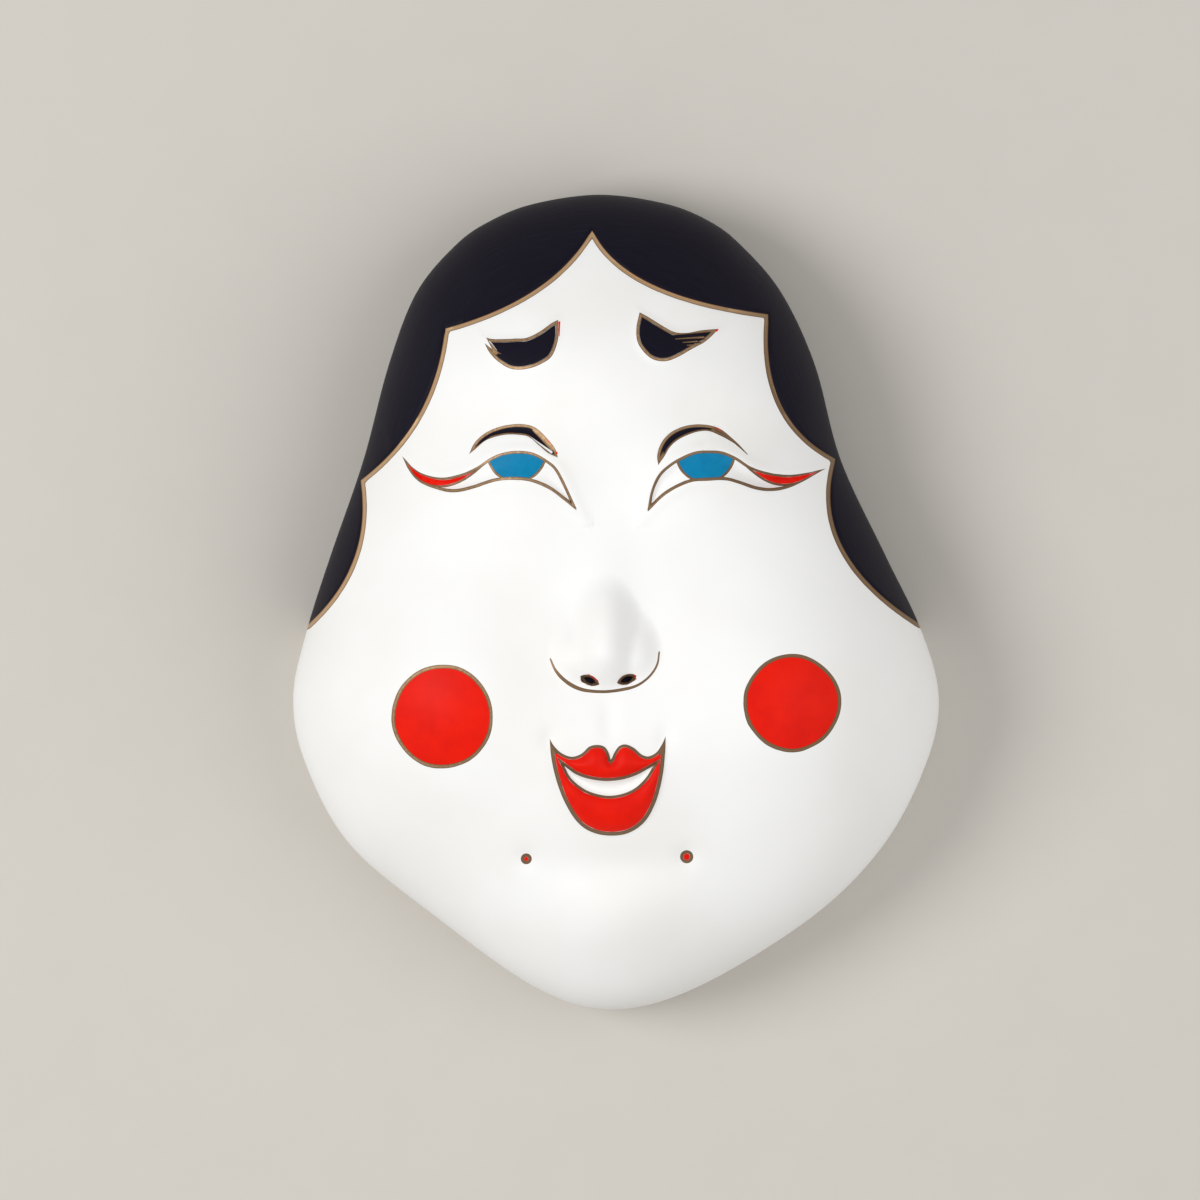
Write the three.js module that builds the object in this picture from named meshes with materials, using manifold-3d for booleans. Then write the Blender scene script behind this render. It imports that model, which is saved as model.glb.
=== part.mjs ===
// An okame mask: a hollow shell carved from one block of light wood. It lies on its rim with the face up.
// Millimetres. X runs across the face, Y from chin to crown and Z out of the face; the rim lies at Z = 0.

import * as THREE from "three";
import { mergeVertices } from "three/addons/utils/BufferGeometryUtils.js";
import Module from "manifold-3d";

const wasm = await Module();
wasm.setup();

// Sizes that a carver would be told
const maskHeight = 212; // chin to crown
const cheekWidth = 168; // across the cheeks, where the mask is widest
const maskDepth = 74; // rim to the height that the brow and cheeks are carved to
const wallThickness = 7;
const sideHeight = 20; // the upright side, from the rim to the outline seen from the front
const sideDraft = 2.5; // how far the side draws in at the rim
const hairStep = 1.4; // how far the hair stands proud of the forehead
const hairStepWidth = 1.6; // the slope of that step, seen from the front
const cordHoleDiameter = 4;
const cordSeatDiameter = 10; // flat spot inside, where the knot of the cord bears
const cordSeatDepth = 0.8;
const cordHoleHeight = 10; // above the rim
const eyeDepth = 1.6; // how deep the slit between the lids is cut
const eyeSlope = 2.6; // the slope down into it, seen from the front
const upperLipRise = 2.4;
const upperLipSlope = 1.4;
const lowerLipRise = 3;
const lowerLipSlope = 2.4;

// Fineness of the carved surface
const sectorSteps = { sideburn: 9, temple: 8, crown: 12, jaw: 20 };
const faceRings = 33;
const hairRings = [0.16, 0.4, 0.7, 0.9];
const sideRings = 2;
const hollowSectors = 60;
const hollowRings = 10;

const halfWidth = cheekWidth / 2;
const halfHeight = maskHeight / 2;

// The face is laid out in shares of the half width (u) and of the half height (v).
const face = (u, v) => new THREE.Vector2(u * halfWidth, v * halfHeight);
const noseTip = new THREE.Vector2(-0.035, -0.12);

// The outline from crown to chin: height, then the left and right edge. The head leans a little to the left.
const outlineRows = [
  [1, -0.05, -0.05],
  [0.978, -0.253, 0.153],
  [0.936, -0.389, 0.287],
  [0.877, -0.496, 0.386],
  [0.76, -0.618, 0.512],
  [0.583, -0.704, 0.616],
  [0.348, -0.783, 0.697],
  [0.113, -0.885, 0.836],
  [-0.064, -0.956, 0.943],
  [-0.23, -1, 1],
  [-0.39, -0.965, 0.964],
  [-0.593, -0.827, 0.832],
  [-0.772, -0.559, 0.609],
  [-0.946, -0.249, 0.25],
  [-1, -0.015, -0.015],
];

// The hairline from the parting to the tip of each side lock, as three bows with corners between them
const hairlineParting = [-0.074, 0.907];
const hairlineLeft = [
  { bow: [-0.192, 0.738], end: [-0.525, 0.667] },
  { bow: [-0.557, 0.432], end: [-0.787, 0.297] },
  { bow: [-0.746, 0.083], end: [-0.958, -0.062] },
];
const hairlineRight = [
  { bow: [0.02, 0.745], end: [0.469, 0.702] },
  { bow: [0.436, 0.445], end: [0.676, 0.349] },
  { bow: [0.588, 0.115], end: [0.942, -0.058] },
];
const leastHair = 0.5; // the hair ends this wide at the tips of the locks, in millimetres
const jawBand = { share: 0.14, fade: 0.45 }; // below the locks the rings stay near the outline, after a fade in radians

// Broad swellings and hollows: centre and reach as shares of the face, rise as a share of the depth
const modelling = [
  { part: "forehead", u: -0.05, v: 0.55, reachU: 0.52, reachV: 0.27, rise: 0.115 },
  { part: "left eye socket", u: -0.33, v: 0.43, reachU: 0.26, reachV: 0.1, rise: -0.035 },
  { part: "right eye socket", u: 0.29, v: 0.43, reachU: 0.26, reachV: 0.1, rise: -0.035 },
  { part: "left eyeball", u: -0.31, v: 0.33, reachU: 0.2, reachV: 0.09, rise: 0.045 },
  { part: "right eyeball", u: 0.28, v: 0.33, reachU: 0.2, reachV: 0.09, rise: 0.045 },
  { part: "left cheek", u: -0.54, v: -0.25, reachU: 0.36, reachV: 0.29, rise: 0.13 },
  { part: "right cheek", u: 0.54, v: -0.24, reachU: 0.36, reachV: 0.29, rise: 0.13 },
  { part: "root of the nose", u: -0.03, v: 0.26, reachU: 0.17, reachV: 0.14, rise: -0.035 },
  { part: "muzzle", u: -0.02, v: -0.42, reachU: 0.27, reachV: 0.2, rise: 0.07 },
  { part: "hollow under the lip", u: -0.01, v: -0.65, reachU: 0.24, reachV: 0.06, rise: -0.03 },
  { part: "chin", u: 0, v: -0.79, reachU: 0.24, reachV: 0.13, rise: 0.065 },
];
const domeShare = 0.83; // height of the plain dome under them, as a share of the depth
const domeFlatness = 2.6;

// The nose: a ball with two wings, and a bridge that runs up between the eyes
const noseBalls = [
  { u: -0.035, v: -0.11, reachU: 0.115, up: 0.16, down: 0.105, rise: 0.095 },
  { u: -0.125, v: -0.13, reachU: 0.07, up: 0.085, down: 0.062, rise: 0.05 },
  { u: 0.057, v: -0.127, reachU: 0.07, up: 0.085, down: 0.062, rise: 0.05 },
];
const noseBridge = { halfWidth: 0.085, top: 0.32, rise: 0.04 };
const noseBlend = { balls: 0.02, face: 0.03 }; // how softly they run together and into the face, shares of the depth

// Eyes and mouth as closed loops of points
const eyeLeft = [
  [-0.651, 0.346], [-0.534, 0.298], [-0.426, 0.321], [-0.302, 0.366], [-0.185, 0.324], [-0.13, 0.233],
  [-0.213, 0.276], [-0.315, 0.299], [-0.503, 0.27], [-0.6, 0.296],
];
const eyeRight = [
  [0.633, 0.32], [0.525, 0.309], [0.404, 0.336], [0.278, 0.366], [0.16, 0.326], [0.105, 0.228],
  [0.185, 0.278], [0.3, 0.299], [0.489, 0.27], [0.58, 0.294],
];
const mouth = { u: -0.0245, v: -0.45, halfWidth: 0.178, halfHeight: 0.12 };
const upperLip = [
  [-1, 0.95], [-0.62, 0.58], [-0.27, 0.82], [0.05, 0.45], [0.3, 0.82], [0.62, 0.58], [1, 0.98],
  [0.7, 0.38], [0.05, 0.1], [-0.65, 0.38],
];
const lowerLip = [
  [-0.98, 0.75], [-0.75, 0.3], [-0.4, -0.08], [0.05, -0.2], [0.5, -0.08], [0.85, 0.3], [0.97, 0.75],
  [0.86, -0.2], [0.5, -0.82], [0.05, -1], [-0.4, -0.82], [-0.84, -0.15],
];
const carvedLoops = [
  { part: "left eye", points: eyeLeft, rise: -eyeDepth, soft: eyeSlope },
  { part: "right eye", points: eyeRight, rise: -eyeDepth, soft: eyeSlope },
  { part: "upper lip", points: upperLip.map(inMouth), rise: upperLipRise, soft: upperLipSlope },
  { part: "lower lip", points: lowerLip.map(inMouth), rise: lowerLipRise, soft: lowerLipSlope },
];

const smooth = (from, to, value) => THREE.MathUtils.smoothstep(value, from, to);

function inMouth([p, q]) {
  return [mouth.u + p * mouth.halfWidth, mouth.v + q * mouth.halfHeight];
}

// A share of the face, as the direction from the nose tip: 0 to the crown, positive to the right
function direction(u, v) {
  return Math.atan2(u - noseTip.x, v - noseTip.y);
}

// Distance from the nose tip to a line of [u, v] points, looked up by direction
function reachOf(points) {
  const rows = points.map(([u, v]) => [direction(u, v), Math.hypot(u - noseTip.x, v - noseTip.y)]);
  rows.sort((a, b) => a[0] - b[0]);
  const turn = 2 * Math.PI;
  const first = rows[0];
  const last = rows[rows.length - 1];
  const table = [[last[0] - turn, last[1]], ...rows, [first[0] + turn, first[1]]];
  return (angle) => {
    const after = table.findIndex((row) => row[0] > angle);
    const [a0, r0] = table[after - 1];
    const [a1, r1] = table[after];
    return r0 + ((r1 - r0) * (angle - a0)) / (a1 - a0);
  };
}

// The outline: a smooth closed curve down the right edge and up the left one
function outlinePoints(count = 720) {
  const right = outlineRows.map(([v, , edge]) => [edge, v]);
  const left = outlineRows.slice(1, -1).reverse().map(([v, edge]) => [edge, v]);
  const corners = [...right, ...left].map(([u, v]) => new THREE.Vector3(u, v, 0));
  const curve = new THREE.CatmullRomCurve3(corners, true, "catmullrom", 0.5);
  return Array.from({ length: count }, (_, i) => {
    const p = curve.getPoint(i / count);
    return [p.x, p.y];
  });
}

// One side of the hairline as points from the parting to the tip
function hairlineSide(bows, perBow = 24) {
  const points = [];
  let start = hairlineParting;
  for (const { bow, end } of bows) {
    const curve = new THREE.QuadraticBezierCurve(
      new THREE.Vector2(...start),
      new THREE.Vector2(...bow),
      new THREE.Vector2(...end),
    );
    points.push(...curve.getPoints(perBow).map((p) => [p.x, p.y]));
    start = end;
  }
  return points;
}

const outline = outlinePoints();
const hairline = [...hairlineSide(hairlineLeft).reverse(), ...hairlineSide(hairlineRight).slice(1)];
const outlineReach = reachOf(outline);
const hairlineReach = reachOf(hairline);
const tipLeft = direction(...hairlineLeft.at(-1).end);
const tipRight = direction(...hairlineRight.at(-1).end);

// How far the face runs in one direction before the hair, or before the jaw's edge band, begins
function faceReach(angle) {
  const edge = outlineReach(angle);
  if (angle > tipLeft && angle < tipRight) return Math.min(hairlineReach(angle), drawnIn(angle, edge, leastHair));
  const past = angle >= tipRight ? angle - tipRight : tipLeft - angle;
  return edge * (1 - jawBand.share * smooth(0, jawBand.fade, past));
}

// Signed distance in millimetres from a point to a line of points; with a closed loop, positive inside it
function distanceInto(loop, u, v) {
  const x = u * halfWidth;
  const y = v * halfHeight;
  let nearest = Infinity;
  let inside = false;
  for (let i = 0, j = loop.length - 1; i < loop.length; j = i, i += 1) {
    const [x0, y0, x1, y1] = [loop[j].x, loop[j].y, loop[i].x, loop[i].y];
    const along = ((x - x0) * (x1 - x0) + (y - y0) * (y1 - y0)) / ((x1 - x0) ** 2 + (y1 - y0) ** 2 || 1);
    const t = THREE.MathUtils.clamp(along, 0, 1);
    nearest = Math.min(nearest, Math.hypot(x - x0 - t * (x1 - x0), y - y0 - t * (y1 - y0)));
    if (y0 > y !== y1 > y && x < x0 + ((y - y0) * (x1 - x0)) / (y1 - y0)) inside = !inside;
  }
  return inside ? nearest : -nearest;
}

function loopInMillimetres(points, count = 60) {
  const corners = points.map(([u, v]) => new THREE.Vector3(u * halfWidth, v * halfHeight, 0));
  const curve = new THREE.CatmullRomCurve3(corners, true, "centripetal");
  return Array.from({ length: count }, (_, i) => {
    const p = curve.getPoint(i / count);
    return face(p.x / halfWidth, p.y / halfHeight);
  });
}

for (const carved of carvedLoops) carved.loop = loopInMillimetres(carved.points);
const hairLoop = [...hairline, [1.4, 0], [1.4, 1.4], [-1.4, 1.4], [-1.4, 0]].map(([u, v]) => face(u, v));

// Rounded swelling: 1 at its centre, falling smoothly to nothing past its reach
function swell(u, v, s) {
  return Math.exp(-(((u - s.u) / s.reachU) ** 2) - ((v - s.v) / s.reachV) ** 2);
}

// Dome and broad modelling, which the hollow follows too; share is 0 at the nose tip and 1 at the outline
function broadHeight(u, v, share) {
  const rim = sideHeight;
  const dome = rim + (domeShare * maskDepth - rim) * Math.sqrt(Math.max(0, 1 - share ** domeFlatness));
  const edgeFade = 1 - share ** 6;
  const rises = modelling.reduce((sum, s) => sum + s.rise * swell(u, v, s), 0);
  return dome + maskDepth * rises * edgeFade;
}

function noseHeight(u, v) {
  const balls = noseBalls.map((b) => {
    const du = (u - b.u) / b.reachU;
    const dv = (v - b.v) / (v > b.v ? b.up : b.down);
    return b.rise * (1 - du * du - dv * dv);
  });
  const nose = balls.reduce((a, b) => softerOf(a, b, noseBlend.balls));
  const across = Math.exp(-(((u - noseTip.x) / noseBridge.halfWidth) ** 2));
  const along = 1 - smooth(noseTip.y, noseBridge.top, v);
  const below = smooth(noseTip.y - noseBalls[0].down, noseTip.y, v);
  const bridge = noseBridge.rise * across * along * below;
  return maskDepth * (bridge + softerOf(nose, 0, noseBlend.face));
}

// The greater of two rises, with the crease between them rounded
function softerOf(a, b, blend) {
  const near = Math.max(0, blend - Math.abs(a - b)) / blend;
  return Math.max(a, b) + (near * near * blend) / 4;
}

// The carved outside: height above the rim's plane
function outsideHeight(u, v, share) {
  let height = broadHeight(u, v, share) + noseHeight(u, v);
  for (const { loop, rise, soft } of carvedLoops) {
    const into = distanceInto(loop, u, v);
    if (into > 0) height += rise * (1 - Math.exp(-into / soft));
  }
  const intoHair = distanceInto(hairLoop, u, v);
  return height + hairStep * smooth(0, hairStepWidth, intoHair) * (1 - share ** 12);
}

// Directions of the sectors, with one on each corner of the hairline
function sectorAngles() {
  const corners = [
    ...hairlineLeft.map((b) => b.end).reverse(),
    hairlineParting,
    ...hairlineRight.map((b) => b.end),
  ].map(([u, v]) => direction(u, v));
  const chin = direction(noseTip.x, -1);
  const { sideburn, temple, crown, jaw } = sectorSteps;
  const stops = [-chin, ...corners, chin];
  const steps = [jaw, sideburn, temple, crown, crown, temple, sideburn, jaw];
  return steps.flatMap((count, i) =>
    Array.from({ length: count }, (_, k) => stops[i] + ((stops[i + 1] - stops[i]) * k) / count),
  );
}

// One closed solid from rings of points round a middle point; ring 0 lies next to the middle
function ringSolid(top, rings, bottom) {
  const sectors = rings[0].length;
  const vertices = [top, ...rings.flat(), bottom];
  const last = vertices.length - 1;
  const at = (ring, sector) => 1 + ring * sectors + (sector % sectors);
  const triangles = [];
  for (let s = 0; s < sectors; s += 1) {
    triangles.push(0, at(0, s + 1), at(0, s));
    for (let r = 0; r < rings.length - 1; r += 1) {
      triangles.push(at(r, s), at(r, s + 1), at(r + 1, s + 1));
      triangles.push(at(r, s), at(r + 1, s + 1), at(r + 1, s));
    }
    triangles.push(last, at(rings.length - 1, s), at(rings.length - 1, s + 1));
  }
  return solidOf(vertices.flatMap((p) => [p.x, p.y, p.z]), triangles);
}

function solidOf(positions, triangles) {
  return new wasm.Manifold(
    new wasm.Mesh({
      numProp: 3,
      vertProperties: new Float32Array(positions),
      triVerts: new Uint32Array(triangles),
    }),
  );
}

// A point of the face, in a direction and at a distance from the nose tip given in shares
function pointAt(angle, reach, height) {
  const u = noseTip.x + reach * Math.sin(angle);
  const v = noseTip.y + reach * Math.cos(angle);
  const z = typeof height === "function" ? height(u, v, Math.min(1, reach / outlineReach(angle))) : height;
  return new THREE.Vector3(u * halfWidth, v * halfHeight, z);
}

// The same direction drawn in towards the nose tip by a length in millimetres
function drawnIn(angle, reach, length) {
  const perShare = Math.hypot(Math.sin(angle) * halfWidth, Math.cos(angle) * halfHeight);
  return reach - length / perShare;
}

// Outside of the block: face rings, hair rings up to the outline, then the upright side down to the rim
function carvedBlock() {
  const angles = sectorAngles();
  const rings = [];
  for (let k = 1; k <= faceRings; k += 1)
    rings.push(angles.map((a) => pointAt(a, faceReach(a) * (k / faceRings) ** 1.1, outsideHeight)));
  for (const share of [...hairRings, 1])
    rings.push(
      angles.map((a) => {
        const [near, far] = [faceReach(a), outlineReach(a)];
        return pointAt(a, near + (far - near) * share, outsideHeight);
      }),
    );
  for (let k = 1; k <= sideRings; k += 1) {
    const down = k / sideRings;
    const inset = sideDraft * down ** 2;
    rings.push(angles.map((a) => pointAt(a, drawnIn(a, outlineReach(a), inset), sideHeight * (1 - down))));
  }
  const top = pointAt(0, 0, outsideHeight);
  return ringSolid(top, rings, new THREE.Vector3(0, 0, 0));
}

// What is carved out behind: it keeps one wall thickness inside the outside
function hollow() {
  const angles = Array.from({ length: hollowSectors }, (_, i) => ((i + 0.5) / hollowSectors - 0.5) * 2 * Math.PI);
  const below = -1;
  const inner = (a, share) => drawnIn(a, outlineReach(a), wallThickness) * share;
  const height = (share) => (u, v) => broadHeight(u, v, share) - wallThickness;
  const rings = [];
  for (let k = 1; k <= hollowRings; k += 1) {
    const share = Math.sin(((k / hollowRings) * Math.PI) / 2);
    rings.push(angles.map((a) => pointAt(a, inner(a, share), height(share))));
  }
  rings.push(angles.map((a) => pointAt(a, drawnIn(a, outlineReach(a), wallThickness + sideDraft), below)));
  return ringSolid(pointAt(0, 0, height(0)), rings, new THREE.Vector3(0, 0, below));
}

// Where a cord passes the side wall: the place on the outline and the way out of it
const cordAngles = { left: -1.04, right: 1.04 };

function cordPlace(angle) {
  const nudge = 0.02;
  const a = pointAt(angle - nudge, outlineReach(angle - nudge), cordHoleHeight);
  const b = pointAt(angle + nudge, outlineReach(angle + nudge), cordHoleHeight);
  const outward = new THREE.Vector3(b.y - a.y, a.x - b.x, 0).normalize().negate();
  const place = pointAt(angle, outlineReach(angle), cordHoleHeight);
  if (outward.dot(place) < 0) outward.negate();
  return { place, outward };
}

// A round cutter that starts a distance inside the outline and runs a length further in or out
function roundCutter(place, outward, diameter, from, to) {
  const geometry = new THREE.CylinderGeometry(diameter / 2, diameter / 2, Math.abs(to - from), 24);
  geometry.applyQuaternion(new THREE.Quaternion().setFromUnitVectors(new THREE.Vector3(0, 1, 0), outward));
  const middle = place.clone().addScaledVector(outward, -(from + to) / 2);
  geometry.translate(middle.x, middle.y, middle.z);
  geometry.deleteAttribute("normal");
  geometry.deleteAttribute("uv");
  const merged = mergeVertices(geometry);
  return solidOf(merged.attributes.position.array, merged.index.array);
}

function cordCutters() {
  const seatInside = wallThickness - cordSeatDepth;
  const clear = 3;
  return Object.values(cordAngles).flatMap((angle) => {
    const { place, outward } = cordPlace(angle);
    return [
      roundCutter(place, outward, cordHoleDiameter, -clear, wallThickness + sideDraft + clear),
      roundCutter(place, outward, cordSeatDiameter, seatInside, seatInside + cordSeatDiameter),
    ];
  });
}

function geometryOf(solid) {
  const made = solid.getMesh();
  const geometry = new THREE.BufferGeometry();
  geometry.setAttribute("position", new THREE.BufferAttribute(made.vertProperties, 3));
  geometry.setIndex(new THREE.BufferAttribute(made.triVerts, 1));
  return geometry;
}

function maskShell() {
  let shell = carvedBlock().subtract(hollow());
  for (const cutter of cordCutters()) shell = shell.subtract(cutter);
  return shell;
}

const paintedWood = new THREE.MeshStandardMaterial({ color: 0xf4f2ee, roughness: 0.6, metalness: 0 });

const mask = new THREE.Mesh(geometryOf(maskShell()), paintedWood);
mask.name = "mask";

const okameMask = new THREE.Group();
okameMask.add(mask);

export default okameMask;
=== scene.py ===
# Okame mask: a shell carved from light wood and painted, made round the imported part's frame.
# The scene is in metres. Carving is worked out in millimetres, and places on the face are shares of its
# half width (u, to the right) and half height (v, to the crown), from the middle of the outline.

import math

import bpy
import numpy as np
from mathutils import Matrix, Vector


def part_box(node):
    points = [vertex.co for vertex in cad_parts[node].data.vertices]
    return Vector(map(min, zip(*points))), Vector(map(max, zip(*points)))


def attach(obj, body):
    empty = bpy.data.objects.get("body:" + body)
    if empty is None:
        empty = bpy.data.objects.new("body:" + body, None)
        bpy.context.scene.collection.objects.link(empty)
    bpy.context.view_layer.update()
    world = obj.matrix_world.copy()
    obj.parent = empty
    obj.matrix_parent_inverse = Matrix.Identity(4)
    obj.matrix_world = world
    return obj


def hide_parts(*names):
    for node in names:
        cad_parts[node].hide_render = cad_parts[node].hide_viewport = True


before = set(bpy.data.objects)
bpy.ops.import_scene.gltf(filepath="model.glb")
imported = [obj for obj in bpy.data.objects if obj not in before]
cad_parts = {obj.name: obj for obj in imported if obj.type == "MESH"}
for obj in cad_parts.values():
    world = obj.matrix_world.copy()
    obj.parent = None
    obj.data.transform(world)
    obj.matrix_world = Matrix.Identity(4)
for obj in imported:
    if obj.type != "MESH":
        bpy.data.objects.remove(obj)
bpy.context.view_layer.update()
low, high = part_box("mask")
millimetre = 0.001
inset = 0.05   # millimetres: the carving stays this far inside the part's box
halfWidth = (high.x - low.x) / 2 / millimetre - inset
halfHeight = (high.y - low.y) / 2 / millimetre - inset
print("frame loaded: mask", round(2 * halfWidth, 1), "by", round(2 * halfHeight, 1), "mm")


# Curves and distances

# Goes from 0 to 1 between two values, flat at both ends: t * t * (3 - 2t)
def smoothStep(start, end, value):
    t = np.clip((value - start) / (end - start), 0, 1)
    return t * t * (3 - 2 * t)


# Rounded swelling: 1 at its centre, e to the minus square of the distance counted in its own reach
def swell(u, v, centre, reach):
    return np.exp(-((u - centre[0]) / reach[0]) ** 2 - ((v - centre[1]) / reach[1]) ** 2)


# A smooth line through points: cubic spans whose end slopes come from the neighbours, weighed by the
# spacing to the power given. Power 0 counts every span alike, and 0.5 keeps uneven spacing from
# overshooting.
def smoothLine(points, closed=False, perSpan=8, power=0.5):
    p = np.asarray(points, float)
    if closed:
        before, after, later = np.roll(p, 1, 0), np.roll(p, -1, 0), np.roll(p, -2, 0)
    else:
        padded = np.vstack([2 * p[0] - p[1], p, 2 * p[-1] - p[-2]])
        before, p, after, later = padded[:-3], padded[1:-2], padded[2:-1], padded[3:]
    step = [np.linalg.norm(b - a, axis=1)[:, None] ** power
            for a, b in ((before, p), (p, after), (after, later))]
    leaving = ((p - before) / step[0] - (after - before) / (step[0] + step[1])
               + (after - p) / step[1]) * step[1]
    arriving = ((after - p) / step[1] - (later - p) / (step[1] + step[2])
                + (later - after) / step[2]) * step[1]
    t = np.arange(perSpan)[None, :, None] / perSpan
    rise = t * t * (3 - 2 * t)
    line = (1 - rise) * p[:, None] + rise * after[:, None]
    line += (t ** 3 - 2 * t ** 2 + t) * leaving[:, None] + (t ** 3 - t ** 2) * arriving[:, None]
    line = line.reshape(-1, 2)
    return line if closed else np.vstack([line, after[-1]])


# Bows end to end: each is a parabola pulled from its chord towards one point
def bowedLine(start, bows, perBow=24):
    t = np.linspace(0, 1, perBow + 1)[:, None]
    parts = []
    for pull, end in bows:
        a, b, c = np.array(start), np.array(pull), np.array(end)
        parts.append((1 - t) ** 2 * a + 2 * t * (1 - t) * b + t ** 2 * c)
        start = end
    return np.vstack(parts)


def inMillimetres(points):
    return np.asarray(points, float) * (halfWidth, halfHeight)


fieldReach = 5.0   # millimetres: a field is worked out this near to its line, and is minus this elsewhere


def nearTo(line, x, y):
    (x0, y0), (x1, y1) = line.min(0) - fieldReach, line.max(0) + fieldReach
    return np.flatnonzero((x > x0) & (x < x1) & (y > y0) & (y < y1))


# Share along a segment at which it comes nearest to each point, and the distance there
def nearestOn(start, end, x, y, past=(0, 1)):
    dx, dy = end - start
    t = ((x - start[0]) * dx + (y - start[1]) * dy) / max(dx * dx + dy * dy, 1e-12)
    t = np.clip(t, *past)
    return t, np.hypot(x - start[0] - t * dx, y - start[1] - t * dy)


# Signed distance to a closed line, positive inside: the least distance to its segments, and the sign from
# how often a ray to the right crosses it
def areaField(loop, x, y):
    distance = np.full(x.shape, np.inf)
    inside = np.zeros(x.shape, bool)
    for start, end in zip(np.roll(loop, 1, 0), loop):
        distance = np.minimum(distance, nearestOn(start, end, x, y)[1])
        if start[1] != end[1]:
            crossing = start[0] + (end[0] - start[0]) * (y - start[1]) / (end[1] - start[1])
            inside ^= ((start[1] > y) != (end[1] > y)) & (x < crossing)
    return np.where(inside, distance, -distance)


# Signed distance to an open line, positive above it, or below it where that is asked. The line runs
# straight on past its ends, so the lesser of two such fields is a shape with sharp tips. It is worked out
# near the points of the whole feature.
def sideField(points, below, around, x, y):
    line = inMillimetres(smoothLine(points))
    straight, farAway = 9.0, 60.0
    tips = [end + straight * (end - last) / np.linalg.norm(end - last)
            for end, last in ((line[0], line[1]), (line[-1], line[-2]))]
    away = np.array([0, -farAway if below else farAway])
    loop = np.vstack([tips[0], line, tips[1], tips[1] + away, tips[0] + away])
    near = nearTo(inMillimetres(around), x, y)
    field = np.full(x.shape, -fieldReach)
    field[near] = np.clip(areaField(loop, x[near], y[near]), -fieldReach, fieldReach)
    return field


# Half width of a brush stroke at the nearest place of its line; past both ends it falls below nothing
def strokeWidth(points, halfWidths, x, y):
    line = inMillimetres(smoothLine(points))
    run = np.concatenate([[0], np.cumsum(np.hypot(*np.diff(line, axis=0).T))])
    widths = np.interp(run / run[-1], np.linspace(0, 1, len(halfWidths)), halfWidths)
    near = nearTo(line, x, y)
    distance = np.full(near.shape, np.inf)
    width = np.full(near.shape, -fieldReach)
    last = len(line) - 2
    for k in range(last + 1):
        past = (-np.inf if k == 0 else 0, np.inf if k == last else 1)
        t, d = nearestOn(line[k], line[k + 1], x[near], y[near], past)
        beyond = np.maximum(0, np.maximum(-t, t - 1)) * (run[k + 1] - run[k])
        here = widths[k] + np.clip(t, 0, 1) * (widths[k + 1] - widths[k]) - beyond
        width = np.where(d < distance, here, width)
        distance = np.minimum(d, distance)
    field = np.full(x.shape, -fieldReach)
    field[near] = width
    return field


# Formulas that the carving works out for arrays and the paint for node outputs

def least(first, *others):
    for other in others:
        wired = isinstance(first, Wire)
        first = first.graph.maths("MINIMUM", first, other) if wired else np.minimum(first, other)
    return first


def most(first, *others):
    for other in others:
        wired = isinstance(first, Wire)
        first = first.graph.maths("MAXIMUM", first, other) if wired else np.maximum(first, other)
    return first


def sizeOf(value):
    return value.graph.maths("ABSOLUTE", value) if isinstance(value, Wire) else np.abs(value)


def distanceOf(a, b):
    return a.graph.maths("SQRT", a * a + b * b) if isinstance(a, Wire) else np.hypot(a, b)


# Places measured along and across a direction from a centre
def turned(centre, turn, x, y):
    cx, cy = inMillimetres(centre)
    c, s = math.cos(turn), math.sin(turn)
    dx, dy = x - float(cx), y - float(cy)
    return dx * c + dy * s, dy * c - dx * s


# Round spot, positive inside; its two radii may differ a little
def discField(centre, radii, x, y):
    along, across = turned(centre, 0, x, y)
    return (1 - distanceOf(along / radii[0], across / radii[1])) * ((radii[0] + radii[1]) / 2)


# Almond, positive inside: where two equal discs overlap
def almondField(centre, halfLength, halfHeight, turn, x, y):
    along, across = turned(centre, turn, x, y)
    radius = (halfLength ** 2 + halfHeight ** 2) / (2 * halfHeight)
    shift = radius - halfHeight
    return radius - most(distanceOf(along, across - shift), distanceOf(along, across + shift))


# Straight stroke, positive inside, whose half width runs evenly from its start to its end
def taperField(start, end, startHalf, endHalf, x, y):
    run = inMillimetres(end) - inMillimetres(start)
    length = float(np.hypot(*run))
    along, across = turned(start, math.atan2(run[1], run[0]), x, y)
    here = least(most(along, 0.0), length)
    return here * ((endHalf - startHalf) / length) + startHalf - distanceOf(along - here, across)


# Form of the shell

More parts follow.
